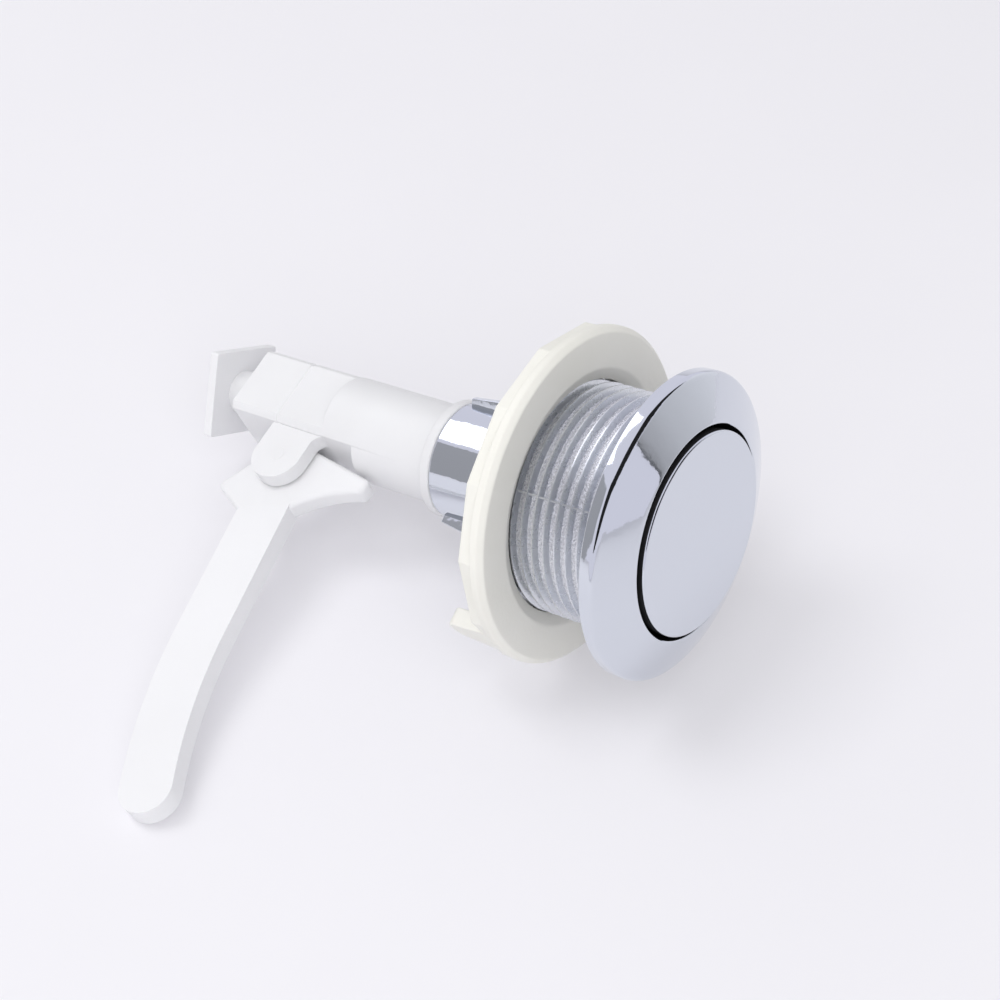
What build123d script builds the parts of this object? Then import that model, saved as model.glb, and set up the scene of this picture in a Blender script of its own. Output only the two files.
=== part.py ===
from build123d import *
import math
import os

# Top-mount push button for a cistern lid, in millimetres.
# The bezel's seat on the lid is z = 0, +Z leaves the button's face, and the side lever reaches along +X.

# Bezel, the sloping flange on top of the lid
BEZEL_RADIUS = 24.5
RIM_HEIGHT = 2.2
RIM_CHAMFER = 0.4
BEZEL_HEIGHT = 5.5
OPENING_RADIUS = 17.0
LIP_CHAMFER = 0.4

# Threaded barrel, its floor and the collar that guides the stem
RECESS_WALL = 1.75
BARREL_WALL = 3.3
BARREL_LENGTH = 24.5
THREAD_PITCH = 2.0
THREAD_DEPTH = 0.9
NECK_LENGTH = 1.6
FLOOR_THICKNESS = 2.5
COLLAR_WALL = 1.1
COLLAR_LENGTH = 14.4
GUIDE_CLEARANCE = 0.25

# Tapered ribs between the collar and the barrel's floor, in pairs about the mould's parting plane
PARTING_ANGLE = 303.0
RIB_SPREAD = 73.5
RIB_WIDTH = 1.3
RIB_LOW = 1.2
RIB_HIGH = 3.0
RIB_SETBACK = 0.8
RIB_BITE = 0.7

# Push button, a disc with a hub that plugs into the stem
BUTTON_GAP = 0.75
BUTTON_PROUD = 0.7
BUTTON_EDGE_CHAMFER = 0.35
BUTTON_THICKNESS = 2.1
BUTTON_TRAVEL = 5.0
BUTTON_CLEARANCE = 0.5
HUB_LENGTH = 9.0
HUB_CLEARANCE = 0.1

# Plunger stem
STEM_RADIUS = 8.35
STEM_WALL = 1.6
STOP_FLANGE_WIDTH = 1.45
STOP_FLANGE_THICKNESS = 1.8
STOP_FLANGE_GAP = 0.1
TUBE_LENGTH = 22.0
SLEEVE_SIDE = 12.7
SLEEVE_LENGTH = 19.8
SLEEVE_CHAMFER = 0.5
WEB_RISE = 0.5
WEB_THICKNESS = 2.0
LEVER_FLAT_LENGTH = 6.7
CROSS_LINE_DEPTH = 0.3
CROSS_LINE_WIDTH = 0.7
CROSS_LINE_SPACING = 9.5

# Pivot ears on the stem, and the pin through them
PIVOT_REACH = 11.8
PIVOT_DROP = 5.9
EAR_RADIUS = 4.7
EAR_GAP = 4.4
EAR_THICKNESS = 2.8
EAR_ROOT_FILLET = 1.8
PIN_RADIUS = 1.3
PIN_FIT = 0.05
PIN_PROUD = 0.15

# Side lever: two stop wings at the head, then a straight and a curved stretch of blade
FOLD_ANGLE = 60.0
STOP_CLEARANCE = 0.4
LEVER_SIDE_CLEARANCE = 0.2
LEVER_PIN_CLEARANCE = 0.08
LEVER_WIDTH = 9.3
LEVER_THICKNESS = 3.6
LEVER_EDGE_CHAMFER = 0.9
LEVER_LIFT_ANGLE = 9.2
LEVER_STRAIGHT = 32.6
LEVER_BEND_RADIUS = 90.0
LEVER_BEND_ANGLE = 18.0
STOP_WING_GAP = 1.2
STOP_WING_LEAN = 9.2
STOP_WING_LENGTH = 16.9
STOP_WING_WIDTH = 2.6
STOP_WING_HOLLOW = 1.0
STOP_WING_ROOT = 8.0
FOLD_WING_LENGTH = 11.4
FOLD_WING_ROOT = 10.0
WING_TIP_ROUND = 1.0

# Push rod and its square foot plate
ROD_RADIUS = 3.8
ROD_FIT = 0.1
ROD_REACH = 5.2
FOOT_SIDE = 15.0
FOOT_THICKNESS = 1.7
FOOT_TURN = 45.0
FOOT_CORNER = 0.6

# Return spring in the barrel
SPRING_RADIUS = 11.0
SPRING_WIRE_RADIUS = 0.6
SPRING_TURNS = 5
SPRING_RUNS_PER_TURN = 10
SPRING_WIRE_SIDES = 4

# Lock nut
NUT_DEPTH = 15.3
NUT_RADIUS = 27.4
NUT_THICKNESS = 4.2
NUT_RIM_THICKNESS = 2.1
NUT_CHAMFER = 0.9
NUT_SIDES = 14
NUT_FIRST_CORNER = 8.0
NUT_CLEARANCE = 0.2
NUT_MOUTH_WIDTH = 1.95
NUT_MOUTH_DEPTH = 1.0
NUT_WING_ANGLE = 11.0
NUT_WING_ROOT = 8.6
NUT_WING_TIP = 4.6
NUT_WING_THICKNESS = 3.0
NUT_WING_LENGTH = 7.4
NUT_WING_ROUND = 1.4

# Heights and radii that follow from the sizes above
button_radius = OPENING_RADIUS - BUTTON_GAP
button_top = BEZEL_HEIGHT + BUTTON_PROUD
button_under = button_top - BUTTON_THICKNESS

recess_floor = button_under - BUTTON_TRAVEL - BUTTON_CLEARANCE
barrel_radius = OPENING_RADIUS + RECESS_WALL
barrel_bore = barrel_radius - BARREL_WALL
thread_root = barrel_radius - THREAD_DEPTH
thread_turns = int((BARREL_LENGTH - NECK_LENGTH) / THREAD_PITCH)
barrel_end = -BARREL_LENGTH
floor_top = barrel_end + FLOOR_THICKNESS
collar_bore = STEM_RADIUS + GUIDE_CLEARANCE
collar_radius = collar_bore + COLLAR_WALL
collar_end = barrel_end - COLLAR_LENGTH

stem_bore = STEM_RADIUS - STEM_WALL
hub_radius = stem_bore - HUB_CLEARANCE
hub_end = button_under - HUB_LENGTH

flange_radius = STEM_RADIUS + STOP_FLANGE_WIDTH
flange_top = collar_end - STOP_FLANGE_GAP
flange_end = flange_top - STOP_FLANGE_THICKNESS
sleeve_top = flange_end - TUBE_LENGTH
sleeve_end = sleeve_top - SLEEVE_LENGTH
lever_flat_top = sleeve_top + LEVER_FLAT_LENGTH
web_top = lever_flat_top + WEB_RISE
socket_top = web_top - WEB_THICKNESS
socket_radius = ROD_RADIUS + ROD_FIT
sleeve_flat = SLEEVE_SIDE / 2

pivot = (PIVOT_REACH, sleeve_top - PIVOT_DROP)
ear_outside = EAR_GAP / 2 + EAR_THICKNESS
lever_bore = PIN_RADIUS + LEVER_PIN_CLEARANCE
head_thickness = EAR_GAP - 2 * LEVER_SIDE_CLEARANCE
head_radius = PIVOT_REACH - sleeve_flat - STOP_CLEARANCE

foot_top = sleeve_end - ROD_REACH
foot_end = foot_top - FOOT_THICKNESS
nut_face = -NUT_DEPTH
nut_back = nut_face - NUT_THICKNESS
nut_bore = barrel_radius + NUT_CLEARANCE
grip_flat = NUT_RADIUS * math.cos(math.pi / NUT_SIDES)


def upright_plane(angle):
    """Plane through the Z axis, with its X direction turned by the angle from +X."""
    turn = math.radians(angle)
    return Plane(
        origin=(0, 0, 0),
        x_dir=(math.cos(turn), math.sin(turn), 0),
        z_dir=(math.sin(turn), -math.cos(turn), 0),
    )


def from_pivot(distance, angle):
    """Point of the lever's plane at a distance and an angle from the pivot."""
    turn = math.radians(angle)
    return (pivot[0] + distance * math.cos(turn), pivot[1] + distance * math.sin(turn))


def blade_edge(distance, side):
    """Point on one edge of the blade's straight stretch, a distance from the pivot."""
    middle = from_pivot(distance, LEVER_LIFT_ANGLE)
    across = math.radians(LEVER_LIFT_ANGLE + 90 * side)
    half = LEVER_WIDTH / 2
    return (middle[0] + half * math.cos(across), middle[1] + half * math.sin(across))


def rings(builder, radius):
    """Circular edges of that radius round the Z axis, from the lowest to the highest."""
    circles = builder.edges().filter_by(GeomType.CIRCLE)
    level = circles.filter_by(lambda edge: abs(edge.normal().Z) > 0.99)
    return level.filter_by(lambda edge: abs(edge.radius - radius) < 0.001).sort_by(Axis.Z)


def thread_turn(number):
    """Crest and valley of one turn of the thread, counted from the neck."""
    crest = -NECK_LENGTH - number * THREAD_PITCH
    return [(barrel_radius, crest), (thread_root, crest - THREAD_PITCH / 2)]


def spring_point(run):
    """Point of the spring's wire where one of its straight runs ends."""
    turn = 2 * math.pi * run / SPRING_RUNS_PER_TURN
    rise = spring_height * run / (SPRING_TURNS * SPRING_RUNS_PER_TURN)
    return (SPRING_RADIUS * math.cos(turn), SPRING_RADIUS * math.sin(turn), spring_start + rise)


def is_wing_tip(edge):
    """True for the upright edges at the ends of the lever's two wings."""
    middle = edge.center()
    corners = [(stop_edge, stop_tip), (stop_edge + STOP_WING_WIDTH, stop_tip), fold_tip]
    return any(math.dist((middle.X, middle.Z), corner) < 0.01 for corner in corners)


# Bezel, threaded barrel and collar turned as one section, then the ribs
with BuildPart() as bezel_body:
    thread_line = [point for number in range(thread_turns) for point in thread_turn(number)]
    thread_line.reverse()
    with BuildSketch(Plane.XZ):
        with BuildLine():
            Polyline(
                (barrel_radius, 0),
                (BEZEL_RADIUS, 0),
                (BEZEL_RADIUS, RIM_HEIGHT),
                (OPENING_RADIUS, BEZEL_HEIGHT),
                (OPENING_RADIUS, recess_floor),
                (barrel_bore, recess_floor),
                (barrel_bore, floor_top),
                (collar_bore, floor_top),
                (collar_bore, collar_end),
                (collar_radius, collar_end),
                (collar_radius, barrel_end),
                (thread_root, barrel_end),
                *thread_line,
                (barrel_radius, 0),
            )
        make_face()
    revolve(axis=Axis.Z)
    chamfer(rings(bezel_body, BEZEL_RADIUS)[-1], RIM_CHAMFER)
    chamfer(rings(bezel_body, OPENING_RADIUS)[-1], LIP_CHAMFER)
    for side_angle in (0, 180):
        for spread in (-RIB_SPREAD, RIB_SPREAD):
            with BuildSketch(upright_plane(PARTING_ANGLE + side_angle + spread)):
                Polygon(
                    (collar_radius - RIB_BITE, collar_end + RIB_SETBACK),
                    (collar_radius + RIB_LOW, collar_end + RIB_SETBACK),
                    (collar_radius + RIB_HIGH, barrel_end),
                    (collar_radius + RIB_HIGH, barrel_end + RIB_BITE),
                    (collar_radius - RIB_BITE, barrel_end + RIB_BITE),
                    align=None,
                )
            extrude(amount=RIB_WIDTH / 2, both=True)

# Button: flat head and hub turned as one section
with BuildPart() as push_button:
    with BuildSketch(Plane.XZ):
        with BuildLine():
            Polyline(
                (0, button_top),
                (button_radius, button_top),
                (button_radius, button_under),
                (hub_radius, button_under),
                (hub_radius, hub_end),
                (0, hub_end),
                (0, button_top),
            )
        make_face()
    revolve(axis=Axis.Z)
    chamfer(rings(push_button, button_radius)[-1], BUTTON_EDGE_CHAMFER)

# Stem: tube with a stop flange, flat-sided sleeve with the rod's socket, and two pivot ears.
# The flat on the lever's side runs on up the tube, to make room for the lever's stop wing.
with BuildPart() as plunger_stem:
    with BuildSketch(Plane.XY.offset(sleeve_top)):
        Circle(STEM_RADIUS)
    extrude(amount=button_under - sleeve_top)
    with BuildSketch(Plane.XY.offset(flange_end)):
        Circle(flange_radius)
    extrude(amount=STOP_FLANGE_THICKNESS)
    with BuildSketch(Plane.XY.offset(sleeve_end)):
        Circle(STEM_RADIUS)
        Rectangle(SLEEVE_SIDE, SLEEVE_SIDE, mode=Mode.INTERSECT)
    extrude(amount=SLEEVE_LENGTH)
    chamfer(plunger_stem.faces().sort_by(Axis.Z)[0].edges(), SLEEVE_CHAMFER)
    with BuildSketch(Plane.XY.offset(sleeve_top)):
        with Locations((sleeve_flat, 0)):
            Rectangle(STEM_RADIUS, 2 * STEM_RADIUS, align=(Align.MIN, Align.CENTER))
    extrude(amount=LEVER_FLAT_LENGTH, mode=Mode.SUBTRACT)
    with BuildSketch(Plane.XZ.offset(EAR_GAP / 2)):
        with BuildLine():
            ear_top = pivot[1] + EAR_RADIUS
            ear_low = pivot[1] - EAR_RADIUS
            ear_root = sleeve_flat - SLEEVE_CHAMFER
            fillet_start = (sleeve_flat, ear_top + EAR_ROOT_FILLET)
            fillet_end = (sleeve_flat + EAR_ROOT_FILLET, ear_top)
            Polyline((pivot[0], ear_low), (ear_root, ear_low), (ear_root, fillet_start[1]), fillet_start)
            RadiusArc(fillet_start, fillet_end, -EAR_ROOT_FILLET)
            Line(fillet_end, (pivot[0], ear_top))
            ThreePointArc((pivot[0], ear_top), (pivot[0] + EAR_RADIUS, pivot[1]), (pivot[0], ear_low))
        make_face()
        with Locations(pivot):
            Circle(PIN_RADIUS + PIN_FIT, mode=Mode.SUBTRACT)
    near_ear = extrude(amount=EAR_THICKNESS)
    mirror(near_ear, about=Plane.XZ)
    with BuildSketch(Plane.XY.offset(web_top)):
        Circle(stem_bore)
    extrude(amount=button_under - web_top, mode=Mode.SUBTRACT)
    with BuildSketch(Plane.XY.offset(sleeve_end)):
        Circle(socket_radius)
    extrude(amount=socket_top - sleeve_end, mode=Mode.SUBTRACT)
    with Locations((0, 0, sleeve_top - CROSS_LINE_SPACING)):
        with Locations((0, -sleeve_flat, 0), (0, sleeve_flat, 0)):
            Box(2 * STEM_RADIUS, 2 * CROSS_LINE_DEPTH, CROSS_LINE_WIDTH, mode=Mode.SUBTRACT)

# Pin through the ears and the lever's head
with BuildPart() as pivot_pin:
    with BuildSketch(Plane.XZ):
        with Locations(pivot):
            Circle(PIN_RADIUS)
    extrude(amount=ear_outside + PIN_PROUD, both=True)

# Lever: a thicker head with two stop wings, and the blade
with BuildPart() as lever_arm:
    with BuildSketch(Plane.XZ):
        with BuildLine():
            bend_start = from_pivot(LEVER_STRAIGHT, LEVER_LIFT_ANGLE)
            straight = Line(pivot, bend_start)
            JernArc(bend_start, straight % 1, LEVER_BEND_RADIUS, LEVER_BEND_ANGLE)
            offset(amount=LEVER_WIDTH / 2, side=Side.BOTH, mode=Mode.REPLACE)
        make_face()
    extrude(amount=LEVER_THICKNESS / 2, both=True)
    flat_faces = lever_arm.faces().filter_by(Axis.Y)
    chamfer(flat_faces.edges(), LEVER_EDGE_CHAMFER)
    with BuildSketch(Plane.XZ):
        with Locations(pivot):
            Circle(head_radius)
        stop_edge = STEM_RADIUS + STOP_WING_GAP
        stop_tip = pivot[1] + STOP_WING_LENGTH
        stop_foot = stop_edge - STOP_WING_LENGTH * math.tan(math.radians(STOP_WING_LEAN))
        stop_root = blade_edge(STOP_WING_ROOT, 1)
        with BuildLine():
            stop_corner = (stop_edge + STOP_WING_WIDTH, stop_tip)
            Polyline(stop_root, pivot, (stop_foot, pivot[1]), (stop_edge, stop_tip), stop_corner)
            SagittaArc(stop_corner, stop_root, -STOP_WING_HOLLOW)
        make_face()
        fold_foot = from_pivot(head_radius, 180 + FOLD_ANGLE)
        fold_tip_angle = math.radians(FOLD_ANGLE - 90)
        fold_tip = (
            fold_foot[0] + FOLD_WING_LENGTH * math.cos(fold_tip_angle),
            fold_foot[1] + FOLD_WING_LENGTH * math.sin(fold_tip_angle),
        )
        with BuildLine():
            Polyline(pivot, fold_foot, fold_tip, blade_edge(FOLD_WING_ROOT, -1), pivot)
        make_face()
    extrude(amount=head_thickness / 2, both=True)
    wing_tips = lever_arm.edges().filter_by(Axis.Y).filter_by(is_wing_tip)
    fillet(wing_tips, WING_TIP_ROUND)
    with BuildSketch(Plane.XZ):
        with Locations(pivot):
            Circle(lever_bore)
    extrude(amount=head_thickness, both=True, mode=Mode.SUBTRACT)

# Push rod and foot plate, one moulding
with BuildPart() as push_rod:
    with BuildSketch(Plane.XY.offset(foot_end)):
        RectangleRounded(FOOT_SIDE, FOOT_SIDE, FOOT_CORNER, rotation=FOOT_TURN)
    extrude(amount=FOOT_THICKNESS)
    with BuildSketch(Plane.XY.offset(foot_top)):
        Circle(ROD_RADIUS)
    extrude(amount=socket_top - foot_top)

# Return spring between the barrel's floor and the button, its coils in short straight runs
with BuildPart() as return_spring:
    spring_start = floor_top + SPRING_WIRE_RADIUS
    spring_height = button_under - floor_top - 2 * SPRING_WIRE_RADIUS
    with BuildLine() as coil:
        Polyline(*[spring_point(run) for run in range(SPRING_TURNS * SPRING_RUNS_PER_TURN + 1)])
    with BuildSketch(Plane(origin=coil.line @ 0, z_dir=coil.line % 0)):
        RegularPolygon(SPRING_WIRE_RADIUS, SPRING_WIRE_SIDES)
    sweep(path=coil.line, transition=Transition.RIGHT)

# Lock nut: round front rim, many-sided grip behind it, countersunk bore and two wings that point back
with BuildPart() as lock_nut:
    with BuildSketch(Plane.XY.offset(nut_face - NUT_RIM_THICKNESS)):
        Circle(NUT_RADIUS)
    extrude(amount=NUT_RIM_THICKNESS)
    chamfer(lock_nut.faces().sort_by(Axis.Z)[-1].edges(), NUT_CHAMFER)
    with BuildSketch(Plane.XY.offset(nut_back)):
        RegularPolygon(NUT_RADIUS, NUT_SIDES, rotation=NUT_FIRST_CORNER)
    extrude(amount=NUT_THICKNESS - NUT_RIM_THICKNESS)
    for wing_angle in (NUT_WING_ANGLE, NUT_WING_ANGLE + 180):
        with BuildSketch(upright_plane(wing_angle + 90).offset(grip_flat - NUT_WING_THICKNESS)) as wing:
            Polygon(
                (-NUT_WING_ROOT / 2, nut_face - NUT_RIM_THICKNESS),
                (-NUT_WING_TIP / 2, nut_back - NUT_WING_LENGTH),
                (NUT_WING_TIP / 2, nut_back - NUT_WING_LENGTH),
                (NUT_WING_ROOT / 2, nut_face - NUT_RIM_THICKNESS),
                align=None,
            )
            fillet(wing.vertices().group_by(Axis.Z)[0], NUT_WING_ROUND)
        extrude(amount=NUT_WING_THICKNESS)
    with BuildSketch(Plane.XY.offset(nut_back)):
        Circle(nut_bore)
    extrude(amount=NUT_THICKNESS, mode=Mode.SUBTRACT)
    with BuildSketch(Plane.XZ):
        Polygon(
            (0, nut_face),
            (nut_bore + NUT_MOUTH_WIDTH, nut_face),
            (nut_bore, nut_face - NUT_MOUTH_DEPTH),
            (0, nut_face - NUT_MOUTH_DEPTH),
            align=None,
        )
    revolve(axis=Axis.Z, mode=Mode.SUBTRACT)

pieces = {
    "bezel_body": bezel_body,
    "push_button": push_button,
    "plunger_stem": plunger_stem,
    "pivot_pin": pivot_pin,
    "lever_arm": lever_arm,
    "push_rod": push_rod,
    "return_spring": return_spring,
    "lock_nut": lock_nut,
}
os.makedirs("parts", exist_ok=True)
for name, piece in pieces.items():
    piece.part.label = name
    export_step(piece.part, f"parts/{name}.step")
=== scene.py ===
# %% [markdown]
# This push button is fitted from the top through the hole in a cistern lid. A plated bezel holds
# the button, a threaded barrel and a lock nut clamp the lid, and a white stem carries a square
# foot and a folding lever. The solids and their joints exist already, so this lesson dresses
# them: each piece is modelled again with soft edges and a true thread, each surface gets its
# finish, and the part is lit as it would be on a studio table.

# %% Load the solids as a fixed frame
import math

import bmesh
import bpy
from mathutils import Matrix, Vector


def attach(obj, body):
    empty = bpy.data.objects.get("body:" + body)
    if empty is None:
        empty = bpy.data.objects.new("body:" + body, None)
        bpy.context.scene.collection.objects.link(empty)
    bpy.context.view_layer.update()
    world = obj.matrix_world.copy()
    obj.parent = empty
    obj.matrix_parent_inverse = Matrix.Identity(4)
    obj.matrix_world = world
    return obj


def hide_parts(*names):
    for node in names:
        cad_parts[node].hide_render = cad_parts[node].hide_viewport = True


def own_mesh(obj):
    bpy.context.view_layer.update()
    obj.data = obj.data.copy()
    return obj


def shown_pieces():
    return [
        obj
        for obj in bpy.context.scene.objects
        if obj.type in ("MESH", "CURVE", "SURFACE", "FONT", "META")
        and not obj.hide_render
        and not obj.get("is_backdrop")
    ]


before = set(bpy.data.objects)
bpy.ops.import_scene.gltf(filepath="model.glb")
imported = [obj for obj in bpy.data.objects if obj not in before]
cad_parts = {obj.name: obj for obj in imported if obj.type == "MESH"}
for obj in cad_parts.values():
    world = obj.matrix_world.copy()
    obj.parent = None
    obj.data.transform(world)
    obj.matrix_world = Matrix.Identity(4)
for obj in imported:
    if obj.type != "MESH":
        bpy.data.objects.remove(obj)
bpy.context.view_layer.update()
print("nodes:", ", ".join(sorted(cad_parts)))

# %% [markdown]
# Some of the finishes below are speckled and others are faintly cloudy, and all of that is noise
# at different sizes. The noise could be wired up in every material, but one node group with named
# sockets keeps it in one place. It puts out a value between two levels, for colour or roughness,
# and a height for a bump.

# %% A grain that every finish can use
GRAIN_DETAIL, NOISE_LOW, NOISE_HIGH = 4.0, 0.3, 0.7

grain = bpy.data.node_groups.new("surface_grain", "ShaderNodeTree")
for socket, kind in (("Vector", "NodeSocketVector"), ("Scale", "NodeSocketFloat"),
                     ("Low", "NodeSocketFloat"), ("High", "NodeSocketFloat")):
    grain.interface.new_socket(socket, in_out="INPUT", socket_type=kind)
for socket in ("Level", "Height"):
    grain.interface.new_socket(socket, in_out="OUTPUT", socket_type="NodeSocketFloat")
grain_in = grain.nodes.new("NodeGroupInput")
grain_out = grain.nodes.new("NodeGroupOutput")
grain_noise = grain.nodes.new("ShaderNodeTexNoise")
grain_noise.inputs["Detail"].default_value = GRAIN_DETAIL
grain_range = grain.nodes.new("ShaderNodeMapRange")
grain_range.inputs["From Min"].default_value = NOISE_LOW
grain_range.inputs["From Max"].default_value = NOISE_HIGH
for start, end in (
    (grain_in.outputs["Vector"], grain_noise.inputs["Vector"]),
    (grain_in.outputs["Scale"], grain_noise.inputs["Scale"]),
    (grain_noise.outputs["Fac"], grain_range.inputs["Value"]),
    (grain_in.outputs["Low"], grain_range.inputs["To Min"]),
    (grain_in.outputs["High"], grain_range.inputs["To Max"]),
    (grain_range.outputs["Result"], grain_out.inputs["Level"]),
    (grain_noise.outputs["Fac"], grain_out.inputs["Height"]),
):
    grain.links.new(start, end)
print("grain group sockets:", len(grain.interface.items_tree))


# %% [markdown]
# Every finish starts in the same way: a material, its shader, and the piece's own coordinates,
# which stay with the piece when it moves. Small helpers place the grain, a bump and a share of
# translucency, so the cells that follow only give values.

# %% Start a finish, add grain and a bump, mix in light
def new_finish(name):
    """A material with its shader and the Object coordinates of the piece that wears it."""
    finish = bpy.data.materials.new(name)
    finish.use_nodes = True
    shader = finish.node_tree.nodes["Principled BSDF"]
    place = finish.node_tree.nodes.new("ShaderNodeTexCoord").outputs["Object"]
    return finish, shader, place


def add_grain(finish, place, scale, low, high):
    """The grain group in one material, with its own size and levels."""
    node = finish.node_tree.nodes.new("ShaderNodeGroup")
    node.node_tree = grain
    node.inputs["Scale"].default_value = scale
    node.inputs["Low"].default_value = low
    node.inputs["High"].default_value = high
    finish.node_tree.links.new(place, node.inputs["Vector"])
    return node.outputs["Level"], node.outputs["Height"]


def add_bump(finish, shader, height, distance):
    """A bump of that height, in metres, on the shader's normal."""
    bump = finish.node_tree.nodes.new("ShaderNodeBump")
    bump.inputs["Distance"].default_value = distance
    finish.node_tree.links.new(height, bump.inputs["Height"])
    finish.node_tree.links.new(bump.outputs["Normal"], shader.inputs["Normal"])


def blend_colours(finish, shader, level, dark, pale):
    """Base colour that runs from one tone to another with the grain's level."""
    mix = finish.node_tree.nodes.new("ShaderNodeMix")
    mix.data_type = "RGBA"
    mix.inputs["A"].default_value = (*dark, 1.0)
    mix.inputs["B"].default_value = (*pale, 1.0)
    finish.node_tree.links.new(level, mix.inputs["Factor"])
    finish.node_tree.links.new(mix.outputs["Result"], shader.inputs["Base Color"])
    return mix.outputs["Result"]


def mix_shaders(tree, first, second, share):
    """Mix two shaders by a share, which is a number or a socket."""
    mix = tree.nodes.new("ShaderNodeMixShader")
    if isinstance(share, float):
        mix.inputs["Fac"].default_value = share
    else:
        tree.links.new(share, mix.inputs["Fac"])
    tree.links.new(first, mix.inputs[1])
    tree.links.new(second, mix.inputs[2])
    return mix.outputs["Shader"]


def let_light_through(finish, shader, colour, share):
    """Mix a part of translucent shading into a finish."""
    tree = finish.node_tree
    through = tree.nodes.new("ShaderNodeBsdfTranslucent")
    tree.links.new(colour, through.inputs["Color"])
    milky = mix_shaders(tree, shader.outputs["BSDF"], through.outputs["BSDF"], share)
    tree.links.new(milky, tree.nodes["Material Output"].inputs["Surface"])


# %% [markdown]
# The bezel and button are plastic plated with bright chrome. A perfect mirror would look like a
# drawing, so a wide, very low ripple bends the reflections as moulded plastic does, and the gloss
# varies a little where hands touch it.

# %% Bright chrome plate
CHROME_TONE = (0.70, 0.73, 0.79)
bright_chrome, shader, place = new_finish("bright_chrome")
shader.inputs["Base Color"].default_value = (*CHROME_TONE, 1.0)
shader.inputs["Metallic"].default_value = 1.0
gloss, _ = add_grain(bright_chrome, place, 140.0, 0.03, 0.06)
bright_chrome.node_tree.links.new(gloss, shader.inputs["Roughness"])
_, ripple = add_grain(bright_chrome, place, 125.0, 0.0, 1.0)
add_bump(bright_chrome, shader, ripple, 0.00007)
print("made", bright_chrome.name)

# %% [markdown]
# The barrel is plated too, but the mould was not polished between the turns of the thread. The
# plate there is grainy: bright specks on a satin ground. A fine grain drives roughness, and a
# finer one drives colour and bump.

# %% Grainy chrome of the thread
grainy_chrome, shader, place = new_finish("grainy_chrome")
shader.inputs["Metallic"].default_value = 1.0
speck, speck_height = add_grain(grainy_chrome, place, 3200.0, 0.0, 1.0)
blend_colours(grainy_chrome, shader, speck, (0.55, 0.56, 0.58), (0.90, 0.91, 0.93))
satin, _ = add_grain(grainy_chrome, place, 900.0, 0.10, 0.24)
grainy_chrome.node_tree.links.new(satin, shader.inputs["Roughness"])
add_bump(grainy_chrome, shader, speck_height, 0.00018)
print("made", grainy_chrome.name)

# %% [markdown]
# The flanks of the thread were cut smooth in the mould, but they are worn by the nut. Their plate
# is satin rather than bright, so it blurs what it mirrors.

# %% Satin chrome of the flanks
satin_chrome, shader, place = new_finish("satin_chrome")
shader.inputs["Base Color"].default_value = (0.74, 0.76, 0.80, 1.0)
shader.inputs["Metallic"].default_value = 1.0
wear, wear_height = add_grain(satin_chrome, place, 500.0, 0.22, 0.34)
satin_chrome.node_tree.links.new(wear, shader.inputs["Roughness"])
add_bump(satin_chrome, shader, wear_height, 0.00002)
print("made", satin_chrome.name)

# %% [markdown]
# The narrow recess round the button is deep, so it lies in shade. That shade is painted: a
# near-black colour on its walls, its floor and the barrel's bore makes the gap read as a black
# line, as deep gaps do, even where light falls in.

# %% Painted shade of the recess
recess_painted_shade, shader, place = new_finish("recess_painted_shade")
# Painted shade: near black, with a faint random drift in its tone.
shade_drift, _ = add_grain(recess_painted_shade, place, 300.0, 0.0, 1.0)
blend_colours(recess_painted_shade, shader, shade_drift, (0.010, 0.010, 0.011), (0.020, 0.020, 0.022))
shader.inputs["Roughness"].default_value = 0.7
shader.inputs["Specular IOR Level"].default_value = 0.2
print("made", recess_painted_shade.name)

# %% [markdown]
# Stem, lever and rod are natural polypropylene, a milky plastic that lets light in and glows at
# thin edges. Light scattered under the skin would darken where mouldings run into each other.
# Mixing in a share of translucent shading gives the same soft look without that.

# %% Natural milky plastic
natural_plastic, shader, place = new_finish("natural_plastic")
cloud, _ = add_grain(natural_plastic, place, 110.0, 0.0, 1.0)
milk = blend_colours(natural_plastic, shader, cloud, (0.955, 0.955, 0.965), (0.97, 0.97, 0.98))
skin, skin_height = add_grain(natural_plastic, place, 700.0, 0.30, 0.42)
natural_plastic.node_tree.links.new(skin, shader.inputs["Roughness"])
add_bump(natural_plastic, shader, skin_height, 0.00002)
let_light_through(natural_plastic, shader, milk, 0.22)
print("made", natural_plastic.name)

# %% [markdown]
# The nut is a plastic of a warmer white that lets a little light through, with a slightly dull
# face. Its tone drifts a little where the melt flowed together, and its gloss is broken by a fine
# mould texture.

# %% Cream plastic
cream_plastic, shader, place = new_finish("cream_plastic")
drift, _ = add_grain(cream_plastic, place, 70.0, 0.0, 1.0)
cream = blend_colours(cream_plastic, shader, drift, (0.945, 0.935, 0.865), (0.965, 0.955, 0.895))
texture, texture_height = add_grain(cream_plastic, place, 1300.0, 0.36, 0.50)
cream_plastic.node_tree.links.new(texture, shader.inputs["Roughness"])
add_bump(cream_plastic, shader, texture_height, 0.00003)
let_light_through(cream_plastic, shader, cream, 0.10)
print("made", cream_plastic.name)

# %% [markdown]
# The return spring is drawn wire, grey and a little streaked. It is seen only through the gap, so
# a plain metal with uneven gloss is enough.

# %% Spring wire
spring_steel, shader, place = new_finish("spring_steel")
shader.inputs["Base Color"].default_value = (0.52, 0.52, 0.53, 1.0)
shader.inputs["Metallic"].default_value = 1.0
streak, _ = add_grain(spring_steel, place, 800.0, 0.22, 0.40)
spring_steel.node_tree.links.new(streak, shader.inputs["Roughness"])
print("made", spring_steel.name)

# %% [markdown]
# Small plastic parts are drawn in millimetres, and Blender counts in metres. Each mesh is
# modelled in millimetres and made a thousand times smaller when it is finished, so every number
# can be held against a ruler. The last step also merges doubled points, turns all faces outwards
# and marks as sharp only the edges that really are. Normals weighted by face area keep flat faces
# flat in the light, right up to their narrow rounded edges.

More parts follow.
